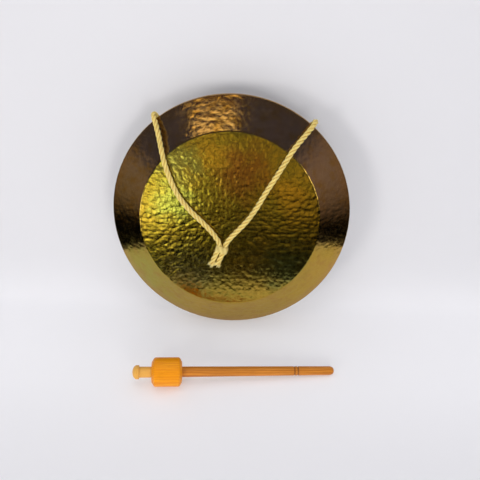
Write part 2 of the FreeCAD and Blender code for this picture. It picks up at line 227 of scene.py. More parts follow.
def run_tree(obj, tree, values):
    """Runs a Geometry Nodes tree on obj with the named values and bakes the result."""
    modifier = obj.modifiers.new(tree.name, "NODES")
    modifier.node_group = tree
    for item in tree.interface.items_tree:
        if item.in_out == "INPUT" and item.name in values:
            modifier[item.identifier] = values[item.name]
    return baked(obj)


# ---------------------------------------------------------------- rope

# The rope's route in the gong's frame, in metres: left tail and leg, over the rim, through the
# lip, along the back, out through the lip, over the rim, right leg and tail.
ROPE_ROUTE = [
    (-0.0219, -0.0544, 0.0360),
    (-0.0194, -0.0480, 0.0367),
    (-0.0164, -0.0412, 0.0375),
    (-0.0126, -0.0338, 0.0382),
    (-0.0114, -0.0266, 0.0382),
    (-0.0156, -0.0196, 0.0376),
    (-0.0220, -0.0112, 0.0370),
    (-0.0322, -0.0006, 0.0366),
    (-0.0440, 0.0106, 0.0364),
    (-0.0540, 0.0218, 0.0361),
    (-0.0628, 0.0342, 0.0356),
    (-0.0698, 0.0500, 0.0352),
    (-0.0765, 0.0700, 0.0360),
    (-0.0805, 0.0860, 0.0315),
    (-0.0860, 0.1070, 0.0195),
    (-0.0936, 0.1235, 0.0055),
    (-0.0936, 0.1235, -0.0090),
    (-0.0821, 0.1084, -0.0090),
    (-0.0620, 0.0990, -0.0104),
    (-0.0250, 0.0925, -0.0116),
    (0.0200, 0.0915, -0.0114),
    (0.0620, 0.0945, -0.0102),
    (0.0890, 0.1029, -0.0090),
    (0.1014, 0.1172, -0.0090),
    (0.1014, 0.1172, 0.0055),
    (0.0910, 0.1068, 0.0180),
    (0.0776, 0.0932, 0.0297),
    (0.0685, 0.0805, 0.0360),
    (0.0550, 0.0568, 0.0355),
    (0.0432, 0.0380, 0.0361),
    (0.0322, 0.0176, 0.0365),
    (0.0202, 0.0006, 0.0368),
    (0.0082, -0.0120, 0.0371),
    (0.0006, -0.0202, 0.0376),
    (-0.0042, -0.0272, 0.0382),
    (-0.0054, -0.0346, 0.0382),
    (-0.0092, -0.0424, 0.0375),
    (-0.0119, -0.0484, 0.0367),
    (-0.0143, -0.0546, 0.0360),
]
ROPE_DIAMETER = 6.5 * MM
ROPE_STEP = 0.8 * MM
LAY_LENGTH = 22 * MM
STRANDS = 3
STRAND_RADIUS = 1.62 * MM
STRAND_OFFSET = 1.63 * MM
STRAND_SIDES = 28
YARNS = 7
YARN_SWELL = 0.13
YARN_LAY = 13 * MM
TAIL_SPLAY = 0.35 * MM
TAIL_SPLAY_LENGTH = 9 * MM


def route_points(route):
    """Points along the NURBS spline whose control points are the route's."""
    curve = bpy.data.curves.new("route", "CURVE")
    curve.dimensions = "3D"
    spline = curve.splines.new("NURBS")
    spline.points.add(len(route) - 1)
    for point, place in zip(spline.points, route):
        point.co = (*(gong_place @ Vector(place)), 1)
    spline.order_u = 3
    spline.use_endpoint_u = True
    spline.resolution_u = 12
    obj = bpy.data.objects.new("route", curve)
    bpy.context.scene.collection.objects.link(obj)
    depsgraph = bpy.context.evaluated_depsgraph_get()
    mesh = bpy.data.meshes.new_from_object(obj.evaluated_get(depsgraph))
    points = [v.co.copy() for v in mesh.vertices]
    bpy.data.objects.remove(obj)
    return points


def evenly(points, step):
    """Points about a step apart along the line through points."""
    lengths = [(b - a).length for a, b in zip(points, points[1:])]
    total = sum(lengths)
    count = max(2, round(total / step))
    spaced, i, passed = [], 0, 0.0
    for k in range(count + 1):
        target = total * k / count
        while i < len(lengths) - 1 and passed + lengths[i] < target:
            passed += lengths[i]
            i += 1
        share = (target - passed) / lengths[i]
        spaced.append(points[i].lerp(points[i + 1], share))
    return spaced, total


def tangents(points):
    ends = [points[0]] + points[:-1], points[1:] + [points[-1]]
    return [(b - a).normalized() for a, b in zip(*ends)]


def frames(points):
    """Tangent and two crosswise directions at each point, without twist between them."""
    along = tangents(points)
    side = along[0].orthogonal().normalized()
    result = []
    for t in along:
        side = (side - t * side.dot(t)).normalized()
        result.append((t, side, t.cross(side)))
    return result


def tube(centres, across, radius_at, sides):
    """Points and faces of a closed tube; across gives each ring's two directions."""
    points, faces = [], []
    for i, (centre, (u, w)) in enumerate(zip(centres, across)):
        for j in range(sides):
            angle = TURN * j / sides
            radius = radius_at(i, angle)
            points.append(centre + (u * math.cos(angle) + w * math.sin(angle)) * radius)
    for i in range(len(centres) - 1):
        for j in range(sides):
            a, b = i * sides + j, i * sides + (j + 1) % sides
            faces.append((a, b, b + sides, a + sides))
    faces.append(tuple(reversed(range(sides))))
    faces.append(tuple((len(centres) - 1) * sides + j for j in range(sides)))
    return points, faces


def joined(parts):
    """One list of points and one of faces from several (points, faces)."""
    points, faces = [], []
    for some_points, some_faces in parts:
        shift = len(points)
        points += some_points
        faces += [tuple(i + shift for i in face) for face in some_faces]
    return points, faces


def strand_line(path, index, total):
    """Centres of one strand, wound round the rope's path and splayed at both tails."""
    centres = []
    for i, (point, (_, u, w)) in enumerate(zip(path, frames(path))):
        s = total * i / (len(path) - 1)
        angle = TURN * (s / LAY_LENGTH + index / STRANDS)
        to_end = min(s, total - s)
        loose = max(0.0, 1 - to_end / TAIL_SPLAY_LENGTH) ** 2
        offset = STRAND_OFFSET + TAIL_SPLAY * loose
        centres.append(point + (u * math.cos(angle) + w * math.sin(angle)) * offset)
    return centres


def yarn_radius(step, phase):
    """The strand's radius round its own middle, with one swelling for each yarn."""

    def radius_at(i, angle):
        turned = angle + TURN * i * step / YARN_LAY + phase
        ridge = abs(math.sin(YARNS / 2 * turned))
        return STRAND_RADIUS * (1 - YARN_SWELL + YARN_SWELL * ridge)

    return radius_at


def make_rope(path, total):
    parts, depth, lays = [], [], []
    step = total / (len(path) - 1)
    for index in range(STRANDS):
        centres = strand_line(path, index, total)
        across = []
        for centre, middle, t in zip(centres, path, tangents(centres)):
            outward = (centre - middle).normalized()
            outward = (outward - t * outward.dot(t)).normalized()
            across.append((outward, t.cross(outward)))
        radius_at = yarn_radius(step, index)
        parts.append(tube(centres, across, radius_at, STRAND_SIDES))
        for i in range(len(centres)):
            for j in range(STRAND_SIDES):
                angle = TURN * j / STRAND_SIDES
                swell = radius_at(i, angle) / STRAND_RADIUS
                valley = (1 - swell) / YARN_SWELL
                inward = (1 - math.cos(angle)) / 2
                # Painted shade: this value is highest in the valleys between yarns and on each
                # strand's side facing the rope's middle.
                depth.append(min(1.0, 0.55 * valley + 0.9 * inward**1.5))
                turned = angle / TURN + i * step / YARN_LAY
                lays.append((i * step, turned * YARNS, index))
    rope = new_mesh("carrying_rope", *joined(parts))
    crevice_shade = rope.data.attributes.new("crevice_shade", "FLOAT", "POINT")
    crevice_shade.data.foreach_set("value", depth)
    lay = rope.data.attributes.new("lay", "FLOAT_VECTOR", "POINT")
    lay.data.foreach_set("vector", [x for place in lays for x in place])
    return rope


def cotton(name, cream, fibre_tone_and_shade):
    """Cream cotton: fine fibres with darker fibre streaks, and painted shade in the valleys between
    yarns and on the strands' inner sides.
    """
    material, nodes, shader = new_material(name)
    place = nodes.add("ShaderNodeTexCoord").outputs["Object"]
    crevice_shade = nodes.add("ShaderNodeAttribute", attribute_name="crevice_shade").outputs["Fac"]
    lay = nodes.add("ShaderNodeAttribute", attribute_name="lay").outputs["Vector"]
    stretched = nodes.vector("MULTIPLY", lay, (900, 3.0, 11))
    fibres = nodes.noise(stretched, 1.0, 3.0, 0.6)
    patches = nodes.noise(place, 90, 3.0, 0.6)
    colour = nodes.mix(nodes.range(patches, 0.3, 0.7), rgb(*cream), rgb(*(c * 0.86 for c in cream)))
    colour = nodes.mix(nodes.range(fibres, 0.35, 0.8, 0.0, 0.35), colour, rgb(*fibre_tone_and_shade))
    # Painted shade: the dark colour goes in where that value is high. The same colour above gives
    # the fibres their darker streaks.
    colour = nodes.mix(nodes.range(crevice_shade, 0.12, 0.75, 0.0, 0.92), colour, rgb(*fibre_tone_and_shade))
    nodes.feed(shader.inputs["Base Color"], colour)
    shader.inputs["Roughness"].default_value = 0.85
    shader.inputs["Specular IOR Level"].default_value = 0.2
    shader.inputs["Sheen Weight"].default_value = 0.08
    shader.inputs["Sheen Roughness"].default_value = 0.5
    shader.inputs["Subsurface Weight"].default_value = 0.12
    shader.inputs["Subsurface Scale"].default_value = 0.002
    shader.inputs["Subsurface Radius"].default_value = (1.0, 0.8, 0.4)
    nodes.feed(shader.inputs["Normal"], nodes.bump(fibres, 0.0003, 0.6))
    return material


def fibre_tree(material):
    """Short loose fibres that stand off a surface."""
    names = [("Fibres per square metre", "Float"), ("Length", "Float"), ("Thickness", "Float")]
    tree, nodes, start, end = new_geometry_tree("loose fibres", names + [("Seed", "Int")])
    spread = nodes.add(
        "GeometryNodeDistributePointsOnFaces",
        {
            "Mesh": start["Geometry"],
            "Density": start["Fibres per square metre"],
            "Seed": start["Seed"],
        },
    )
    hair = nodes.add(
        "GeometryNodeCurveQuadraticBezier",
        {
            "Resolution": 3,
            "Start": (0, 0, 0),
            "Middle": (0.1, 0, 0.55),
            "End": (0.75, 0.1, 0.65),
        },
    )
    sized = nodes.add(
        "GeometryNodeTransform",
        {"Geometry": hair.outputs[0], "Scale": nodes.add("ShaderNodeCombineXYZ", {
            0: start["Length"], 1: start["Length"], 2: start["Length"]}).outputs[0]},
    )
    section = nodes.add(
        "GeometryNodeCurvePrimitiveCircle", {"Resolution": 3, "Radius": start["Thickness"]}
    )
    solid = nodes.add(
        "GeometryNodeCurveToMesh",
        {"Curve": sized.outputs[0], "Profile Curve": section.outputs[0], "Fill Caps": True},
    )
    spin = nodes.add(
        "FunctionNodeRandomValue",
        {"Min": (-0.6, -0.6, 0), "Max": (0.6, 0.6, TURN), "Seed": start["Seed"]},
        data_type="FLOAT_VECTOR",
    )
    turned = nodes.add(
        "FunctionNodeRotateRotation",
        {"Rotation": spread.outputs["Rotation"], "Rotate By": spin.outputs[0]},
        rotation_space="LOCAL",
    )
    growth = nodes.add(
        "FunctionNodeRandomValue", {2: 0.35, 3: 1.0, "Seed": start["Seed"]}, data_type="FLOAT"
    )
    placed = nodes.add(
        "GeometryNodeInstanceOnPoints",
        {
            "Points": spread.outputs["Points"],
            "Instance": solid.outputs[0],
            "Rotation": turned.outputs[0],
            "Scale": growth.outputs[1],
        },
    )
    real = nodes.add("GeometryNodeRealizeInstances", {0: placed.outputs[0]})
    painted = nodes.add("GeometryNodeSetMaterial", {0: real.outputs[0], "Material": material})
    nodes.feed(end["Geometry"], painted.outputs[0])
    return tree


def make_fuzz(rope, material):
    fuzz = bpy.data.objects.new("rope_fuzz", rope.data.copy())
    bpy.context.scene.collection.objects.link(fuzz)
    values = {"Fibres per square metre": 70000.0, "Length": 2.4 * MM, "Thickness": 0.028 * MM}
    return run_tree(fuzz, fibre_tree(material), values | {"Seed": 3})


def frayed_ends(path, total):
    """Loose yarn ends that spread out of each strand at both tails."""
    rng = random.Random(11)
    parts = []
    for reverse in (False, True):
        line = path[::-1] if reverse else path
        for index in range(STRANDS):
            strand = strand_line(path, index, total)
            strand = strand[::-1] if reverse else strand
            out = (strand[0] - strand[4]).normalized()
            away = strand[0] - line[0]
            for _ in range(20):
                spot = Vector([rng.gauss(0, 1) for _ in range(3)]) * 0.5 * STRAND_RADIUS
                length = rng.uniform(0.8, 2.4) * MM
                lean_out = (spot + away * 0.5) / STRAND_RADIUS * rng.uniform(0.05, 0.4)
                droop = Vector([rng.uniform(-0.2, 0.2) for _ in range(3)])
                start = strand[0] + spot - out * 1.5 * MM
                centres = []
                for k in range(6):
                    share = k / 5
                    centres.append(
                        start + out * (length + 1.5 * MM) * share
                        + (lean_out + droop * share) * length * share
                    )
                thick = rng.uniform(0.25, 0.42) * MM
                across = [(u, w) for _, u, w in frames(centres)]
                parts.append(tube(centres, across, lambda i, angle: thick * (1 - 0.1 * i), 7))
    return new_mesh("frayed_yarn_ends", *joined(parts))


# The twine that ties the two tails together.
SEIZING_CENTRE = Vector((-0.0091, -0.0342, 0.0382))
SEIZING_ALONG = Vector((-0.30, -0.954, 0.0)).normalized()
SEIZING_TURNS = 8
SEIZING_LENGTH = 8.2 * MM
TWINE_RADIUS = 0.52 * MM
ROPE_PITCH = 6.9 * MM


def loop_point(share, radius):
    """A point on the slot-shaped loop round both ropes; share runs from 0 to 1."""
    straight, bend = ROPE_PITCH, math.pi * radius
    d = (share % 1) * 2 * (straight + bend)
    if d < straight:
        return Vector((d - straight / 2, radius))
    if d < straight + bend:
        a = (d - straight) / radius
        return Vector((straight / 2 + radius * math.sin(a), radius * math.cos(a)))
    if d < 2 * straight + bend:
        return Vector((straight / 2 - (d - straight - bend), -radius))
    a = (d - 2 * straight - bend) / radius
    return Vector((-straight / 2 - radius * math.sin(a), -radius * math.cos(a)))


def make_seizing():
    """Twine wound round both ropes."""
    rng = random.Random(5)
    out = Vector((0, 0, 1))
    across = out.cross(SEIZING_ALONG)
    steps = 44
    centres = []
    slack = [rng.uniform(-0.12, 0.12) * MM for _ in range(SEIZING_TURNS + 2)]
    for i in range(SEIZING_TURNS * steps + 1):
        turns = i / steps
        a, b = slack[int(turns)], slack[int(turns) + 1]
        radius = ROPE_DIAMETER / 2 + TWINE_RADIUS * 0.9 + a + (b - a) * (turns % 1)
        flat = loop_point(turns, radius)
        along = SEIZING_LENGTH * (turns / SEIZING_TURNS - 0.5)
        place = SEIZING_CENTRE + across * flat.x + out * flat.y + SEIZING_ALONG * along
        centres.append(gong_place @ place)
    parts = []
    for ply in range(2):
        line = []
        for i, (centre, (_, u, w)) in enumerate(zip(centres, frames(centres))):
            angle = i * 0.42 + ply * math.pi
            line.append(centre + (u * math.cos(angle) + w * math.sin(angle)) * TWINE_RADIUS * 0.45)
        around = [(u, w) for _, u, w in frames(line)]
        parts.append(tube(line, around, lambda i, angle: TWINE_RADIUS * 0.62, 10))
    return new_mesh("twine_seizing", *joined(parts))


def make_cord_pieces():
    path, total = evenly(route_points(ROPE_ROUTE), ROPE_STEP)
    rope = make_rope(path, total)
    rope.data.materials.append(cotton("rope_cotton", (0.90, 0.73, 0.24), (0.56, 0.33, 0.05)))
    fuzz = make_fuzz(rope, cotton("fibre_cotton", (0.92, 0.78, 0.32), (0.7, 0.5, 0.15)))
    fray = frayed_ends(path, total)
    fray.data.materials.append(cotton("yarn_cotton", (0.92, 0.78, 0.32), (0.6, 0.4, 0.08)))
    seizing = make_seizing()
    seizing.data.materials.append(cotton("twine_cotton", (0.90, 0.73, 0.26), (0.56, 0.34, 0.07)))
    for piece in (rope, fuzz):
        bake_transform(piece)
    for piece in (fray, seizing):
        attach(piece, "cord_loop")
    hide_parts("cord_left_leg", "cord_left_bend", "cord_back_run", "cord_right_bend",
                "cord_right_leg")
    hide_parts("cord_seizing")


make_cord_pieces()


# ---------------------------------------------------------------- gong


def arc_corner(before, corner, after, radius, steps):
    """Points of the round bend at a corner of the section."""
    into, out = (corner - before).normalized(), (after - corner).normalized()
    turn = into.angle(out)
    tangent = radius * math.tan(turn / 2)
    start, end = corner - into * tangent, corner + out * tangent
    middle = corner + (out - into).normalized() * radius / math.cos(turn / 2)
    points = []
    for k in range(steps + 1):
        share = k / steps
        spoke = (start - middle).lerp(end - middle, share).normalized() * radius
        points.append(middle + spoke)
    return points


def line_points(a, b, spacing):
    count = max(1, round((b - a).length / spacing))
    return [a.lerp(b, k / count) for k in range(1, count)]


def dome_points(rise, edge, drop, spacing):
    """From the crown out to the crease, on the face's shallow dome."""
    count = round(edge / spacing)
    points = []
    for k in range(count + 1):
        r = edge * k / count
        points.append(Vector((r, FACE_RISE + rise * (1 - (r / FACE_RADIUS) ** 2) - drop)))
    return points


def offset_corner(before, corner, after, gauge):
    """The corner of the sheet's inner side."""
    into, out = (corner - before).normalized(), (after - corner).normalized()
    a, b = Vector((into.y, -into.x)), Vector((out.y, -out.x))
    return corner + (a + b) / (1 + a.dot(b)) * gauge


def gong_section():
    """The sheet's section as (radius, height) points, outside first, and the outside's count."""
    fine, coarse = 1.7 * MM, 6 * MM
    dome = dome_points(DOME_RISE, FACE_RADIUS, 0, fine)
    crease = dome[-1]
    rim = Vector((GONG_RADIUS, 0))
    edge = Vector((GONG_RADIUS - LIP_DRAW, -LIP_DEPTH))
    outside = dome[:-1]
    outside += arc_corner(dome[-2], crease, rim, 3.6 * MM, 6)
    outside += line_points(outside[-1], rim, fine)
    outside += arc_corner(crease, rim, edge, 2.7 * MM, 7)
    outside += line_points(outside[-1], edge, 2 * fine)
    in_edge = edge + Vector((-GAUGE, 0))
    in_rim = offset_corner(crease, rim, edge, GAUGE)
    in_crease = offset_corner(dome[-2], crease, rim, GAUGE)
    in_dome = dome_points(DOME_RISE, in_crease.x, GAUGE, coarse)
    outside += arc_corner(rim, edge, in_edge, 0.35 * MM, 2)
    inside = arc_corner(edge, in_edge, in_rim, 0.35 * MM, 2)
    inside += line_points(inside[-1], in_rim, coarse)
    inside += arc_corner(in_edge, in_rim, in_crease, 1.5 * MM, 4)
    inside += line_points(inside[-1], in_crease, coarse)
    inside += arc_corner(in_rim, in_crease, in_dome[-2], 3 * MM, 4)
    inside += in_dome[-2::-1]
    return outside + inside, len(outside)


WELD = 1e-5


def hammering_tree(material):
    """Turns a section into a hammered dish of revolution, placed by a turn and a shift."""
    names = [("Steps around", "Int"), ("Section points", "Int"), ("Outside points", "Int")]
    names += [("Turn", "Vector"), ("Shift", "Vector"), ("Mark size", "Float")]
    names += [("Mark depth", "Float"), ("Wave size", "Float"), ("Wave depth", "Float")]
    tree, nodes, start, end = new_geometry_tree("hammered dish", names)
    columns = nodes.math("ADD", start["Steps around"], 1)
    grid = nodes.add(
        "GeometryNodeMeshGrid", {"Vertices X": columns, "Vertices Y": start["Section points"]}
    )
    index = nodes.add("GeometryNodeInputIndex").outputs[0]
    row = nodes.math("MODULO", index, start["Section points"])
    column = nodes.math("FLOOR", nodes.math("DIVIDE", nodes.math("ADD", index, 0.5),
                                            start["Section points"]))
    position = nodes.add("GeometryNodeInputPosition").outputs[0]
    sample = nodes.add(
        "GeometryNodeSampleIndex",
        {"Geometry": start["Geometry"], "Value": position, "Index": row},
        data_type="FLOAT_VECTOR",
    )
    section = nodes.add("ShaderNodeSeparateXYZ", {0: sample.outputs[0]}).outputs
    angle = nodes.math("MULTIPLY", nodes.math("DIVIDE", column, start["Steps around"]), TURN)
    place = nodes.add(
        "ShaderNodeCombineXYZ",
        {
            0: nodes.math("MULTIPLY", section[0], nodes.math("COSINE", angle)),
            1: nodes.math("MULTIPLY", section[0], nodes.math("SINE", angle)),
            2: section[2],
        },
    ).outputs[0]
    front = nodes.math("LESS_THAN", row, start["Outside points"])
    marked = nodes.add(
        "GeometryNodeStoreNamedAttribute",
        {"Geometry": grid.outputs["Mesh"], "Name": "front", "Value": front},
        data_type="FLOAT",
        domain="POINT",
    )
    lip = nodes.range(section[2], -0.003, 0.001)
    hammered = nodes.add(
        "GeometryNodeStoreNamedAttribute",
        {"Geometry": marked.outputs[0], "Name": "hammered", "Value": lip},
        data_type="FLOAT",
        domain="POINT",
    )
    turned = nodes.add(
        "GeometryNodeSetPosition", {"Geometry": hammered.outputs[0], "Position": place}
    )
    leaned = nodes.add(
        "GeometryNodeTransform",
        {
            "Geometry": turned.outputs[0],
            "Rotation": nodes.add("FunctionNodeEulerToRotation", {0: start["Turn"]}).outputs[0],
            "Translation": start["Shift"],
        },
    )
    welded = nodes.add(
        "GeometryNodeMergeByDistance", {"Geometry": leaned.outputs[0], "Distance": WELD}
    )
    marks = nodes.voronoi(position, nodes.math("DIVIDE", 1.0, start["Mark size"]), 0.7)
    dish = nodes.math("MULTIPLY", nodes.math("POWER", marks.outputs["Distance"], 2.0), 4.0)
    depth = nodes.math("MULTIPLY", nodes.math("SUBTRACT", dish, 0.5), start["Mark depth"])
    wave = nodes.noise(position, nodes.math("DIVIDE", 1.0, start["Wave size"]), 1.0)
    wave = nodes.math("MULTIPLY", nodes.math("SUBTRACT", wave, 0.5), start["Wave depth"])
    share = nodes.add(
        "GeometryNodeInputNamedAttribute", {"Name": "hammered"}, data_type="FLOAT"
    ).outputs[0]
    outward = nodes.add(
        "GeometryNodeInputNamedAttribute", {"Name": "front"}, data_type="FLOAT"
    ).outputs[0]
    sign = nodes.math("SUBTRACT", nodes.math("MULTIPLY", outward, 2.0), 1.0)
    dents = nodes.math("MULTIPLY", nodes.math("ADD", depth, wave), share)
    height = nodes.math("MULTIPLY", dents, sign)
    normal = nodes.add("GeometryNodeInputNormal").outputs[0]
    dented = nodes.add(
        "GeometryNodeSetPosition",
        {"Geometry": welded.outputs[0], "Offset": nodes.scaled(normal, height)},
    )
    smooth = nodes.add("GeometryNodeSetShadeSmooth", {0: dented.outputs[0], "Shade Smooth": True})
    real = nodes.add("GeometryNodeRealizeInstances", {0: smooth.outputs[0]})
    painted = nodes.add("GeometryNodeSetMaterial", {0: real.outputs[0], "Material": material})
    nodes.feed(end["Geometry"], painted.outputs[0])
    return tree


# Heat colours of the brass, together with patches of painted highlight and painted reflection:
# middle in the gong's frame, radius, colour, strength.
HEAT_COLOURS_AND_PAINTED_LIGHT = [
    ((0.018, 0.060), 0.046, (0.40, 0.17, 0.045), 0.85),
    # Painted highlight: this green-yellow patch left of the middle paints a lamp's highlight on the
    # face.
    ((-0.068, 0.024), 0.036, (0.52, 0.56, 0.13), 0.75),
    # Painted reflection: this bright gold patch above the middle paints a reflected streak.
    ((-0.022, 0.078), 0.024, (0.66, 0.40, 0.05), 0.7),
    ((0.072, 0.036), 0.032, (0.66, 0.38, 0.05), 0.75),
    # Painted reflection: this dark green-black patch low on the right paints the dark room
    # reflected there.
    ((0.070, -0.056), 0.050, (0.16, 0.20, 0.055), 0.8),
    ((-0.048, -0.062), 0.050, (0.24, 0.24, 0.085), 0.6),
    ((-0.060, 0.072), 0.034, (0.36, 0.36, 0.12), 0.6),
    ((0.020, -0.010), 0.040, (0.30, 0.24, 0.05), 0.5),
    ((-0.110, -0.075), 0.040, (0.36, 0.40, 0.10), 0.7),
    ((0.116, -0.066), 0.035, (0.66, 0.36, 0.09), 0.6),
]


def brass():
    """Hammered brass with heat colours, painted highlight and painted reflections, darker round the
    rim and inside.
    """
    material, nodes, shader = new_material("hammered_brass")
    place = nodes.add("ShaderNodeTexCoord").outputs["Object"]
    own = nodes.add(
        "ShaderNodeMapping",
        {"Vector": place, "Location": gong_origin, "Rotation": gong_turn},
        vector_type="TEXTURE",
    ).outputs[0]
    flat = nodes.vector("MULTIPLY", own, (1, 1, 0))
    radius = nodes.vector("LENGTH", flat)
    height = nodes.add("ShaderNodeSeparateXYZ", {0: own}).outputs
    drift = nodes.add("ShaderNodeTexNoise", {"Vector": own, "Scale": 55, "Detail": 4})
    wander = nodes.vector("SUBTRACT", drift.outputs["Color"], (0.5, 0.5, 0.5))
    wandering = nodes.vector("ADD", flat, nodes.scaled(wander, 0.05))
    broad = nodes.noise(own, 22, 4.0, 0.6)
    specks = nodes.noise(own, 420, 3.0, 0.6)
    face = nodes.mix(nodes.range(broad, 0.35, 0.65), rgb(0.40, 0.30, 0.045), rgb(0.50, 0.33, 0.05))
    # The heat colours go onto the face here, along with the painted highlight and reflections among
    # them.
    for (x, y), reach, colour, strength in HEAT_COLOURS_AND_PAINTED_LIGHT:
        distance = nodes.vector("DISTANCE", wandering, (x, y, 0))
        share = nodes.range(distance, reach, 0.2 * reach, 0.0, strength)
        face = nodes.mix(share, face, rgb(*colour))
    rim = nodes.mix(nodes.range(broad, 0.3, 0.7), rgb(0.46, 0.28, 0.030), rgb(0.39, 0.25, 0.036))
    rim = nodes.mix(nodes.range(height[0], -0.03, -0.11, 0.0, 0.7), rim, rgb(0.29, 0.26, 0.035))
    # Painted reflection: the upper part of the rim is tinted the dull greyish brown of the dim room
    # it reflects.
    upper_reflection_tint = nodes.range(height[1], -0.045, 0.02)
    rim = nodes.mix(upper_reflection_tint, rim, rgb(0.38, 0.26, 0.19))
    mottle = nodes.noise(own, 75, 4.0, 0.65)
    rim = nodes.mix(nodes.range(mottle, 0.45, 0.68, 0.0, 0.6), rim, rgb(0.34, 0.17, 0.03))
    edge = nodes.range(radius, 0.136, 0.150, 0.0, 0.55)
    rim = nodes.mix(edge, rim, rgb(0.42, 0.23, 0.09))
    on_rim = nodes.range(radius, 0.1085, 0.1115)
    colour = nodes.mix(nodes.math("MULTIPLY", on_rim, 0.8), face, rim)
    colour = nodes.mix(nodes.range(specks, 0.55, 0.8, 0.0, 0.35), colour, rgb(0.14, 0.09, 0.03))
    front = nodes.add("ShaderNodeAttribute", attribute_name="front").outputs["Fac"]
    tarnish = nodes.mix(nodes.range(broad, 0.3, 0.7), rgb(0.26, 0.17, 0.06), rgb(0.13, 0.085, 0.04))
    colour = nodes.mix(nodes.math("MULTIPLY_ADD", front, -1.0, 1.0), colour, tarnish)
    nodes.feed(shader.inputs["Base Color"], colour)
    shader.inputs["Metallic"].default_value = 1.0
    polish = nodes.range(nodes.noise(own, 160, 3.0, 0.7), 0.3, 0.75, 0.13, 0.25)
    worn = nodes.math("MULTIPLY_ADD", nodes.math("SUBTRACT", 1.0, front), 0.22, polish)
    nodes.feed(shader.inputs["Roughness"], worn)
    small = nodes.math("POWER", nodes.voronoi(own, 330, 0.9).outputs["Distance"], 2.0)
    grain = nodes.noise(own, 900, 2.0, 0.6)
    bump = nodes.bump(small, 0.0002, 0.3)
    bump = nodes.bump(grain, 0.00005, 0.25, bump)
    nodes.feed(shader.inputs["Normal"], bump)
    return material


def cut_cord_holes(gong):
    """Bores the two cord holes through the lip."""
    for side in (-1, 1):
        angle = HANGING_LINE - side * HOLE_SPREAD
        outward = Vector((math.cos(angle), math.sin(angle), 0))
        up = Vector((0, 0, 1))
        across = (outward.cross(up), up)
        reach = [outward * (GONG_RADIUS + d) - up * HOLE_SETBACK for d in (-12 * MM, 12 * MM)]
        centres = [gong_place @ p for p in reach]
        turn = gong_turn.to_matrix()
        rings = [(turn @ across[0], turn @ across[1])] * 2
        points, faces = tube(centres, rings, lambda i, a: HOLE_RADIUS, 40)
        drill = new_mesh("drill", points, faces)
        cut = gong.modifiers.new("bore", "BOOLEAN")
        cut.object = drill
        cut.operation = "DIFFERENCE"
        cut.solver = "EXACT"
        baked(gong)
        bpy.data.objects.remove(drill)


def make_gong():
    section, outside = gong_section()
    material = brass()
    gong = new_mesh("hammered_gong", [(p.x, 0, p.y) for p in section], [], smooth=False)
    values = {
        "Steps around": 560,
        "Section points": len(section),
        "Outside points": outside,
        "Turn": tuple(gong_turn),
        "Shift": tuple(gong_origin),
        "Mark size": 5.2 * MM,
        "Mark depth": 0.085 * MM,
        "Wave size": 34 * MM,
        "Wave depth": 0.26 * MM,
    }
    run_tree(gong, hammering_tree(material), values)
    cut_cord_holes(gong)
    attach(gong, "gong")
    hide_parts("gong_body")


make_gong()


# ---------------------------------------------------------------- mallet


def turned_piece(name, outline, sides=96):
    """A closed solid of revolution about the mallet's own axis, from (along, radius) points."""
    points, faces = [], []
    rings = [p for p in outline if p[1] > 0]
    for along, radius in rings:
        for j in range(sides):
            angle = TURN * j / sides
            points.append((along, radius * math.cos(angle), radius * math.sin(angle)))
    for i in range(len(rings) - 1):
        for j in range(sides):
            a, b = i * sides + j, i * sides + (j + 1) % sides
            faces.append((a, b, b + sides, a + sides))
    closed = [(outline[0], 0), (outline[-1], len(rings) - 1)]
    for (along, _), ring in closed:
        points.append((along, 0, 0))
        hub = len(points) - 1
        for j in range(sides):
            a, b = ring * sides + j, ring * sides + (j + 1) % sides
            faces.append((hub, b, a) if ring == 0 else (hub, a, b))
    points = [mallet_place @ Vector(p) for p in points]
    return new_mesh(name, points, faces)


def eased(corners, ease):
    """The outline with each corner rounded a little: (along, radius, ease factor) corners."""
    flat = [Vector((a, r)) for a, r in corners]
    points = [flat[0]]
    for before, corner, after in zip(flat, flat[1:], flat[2:]):
        room = 0.4 * min((corner - before).length, (after - corner).length)
        cut = min(ease, room)
        start = corner + (before - corner).normalized() * cut
        end = corner + (after - corner).normalized() * cut
        for k in range(5):
            share = k / 4
            points.append(start.lerp(corner, share).lerp(corner.lerp(end, share), share))
    points.append(flat[-1])
    finished = [points[0]]
    for a, b in zip(points, points[1:]):
        finished += line_points(a, b, 4 * MM) + [b]
    return [(p.x, max(p.y, 0.0)) for p in finished]


def stick_radius(x):
    start, end = 7.9 * MM, MALLET_LENGTH - NOSE_LENGTH
    return (6.4 - 1.2 * (x - start) / (end - start)) * MM


def make_stick():
    button, button_end = 8.2 * MM, 7.9 * MM
    dome = [(5.2 * MM * (1 - math.cos(a)), button * math.sin(a)) for a in
            (math.pi / 2 * k / 12 for k in range(13))]
    ring = [(5.25 * MM, button), (5.55 * MM, button - 0.35 * MM), (5.9 * MM, button)]
    corners = dome + ring + [(button_end, button), (button_end, stick_radius(button_end))]
    for inset in GROOVES[::-1]:
        x, width, depth = MALLET_LENGTH - inset, GROOVE_WIDTH, GROOVE_DEPTH
        top = stick_radius(x)
        corners += [(x, top), (x + 0.3 * width, top - depth), (x + 0.7 * width, top - depth)]
        corners += [(x + width, top)]
    corners += [(MALLET_LENGTH - NOSE_LENGTH, GRIP_RADIUS)]
    corners += [(MALLET_LENGTH - NOSE_LENGTH * 0.35, GRIP_RADIUS * 0.83)]
    corners += [(MALLET_LENGTH, 2.6 * MM), (MALLET_LENGTH, 0)]
    stick = turned_piece("turned_stick", eased(corners, 0.5 * MM))
    stick.data.materials.append(wood("stick_wood", STICK_COLOURS))
    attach(stick, "mallet")
    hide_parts("mallet_stick")


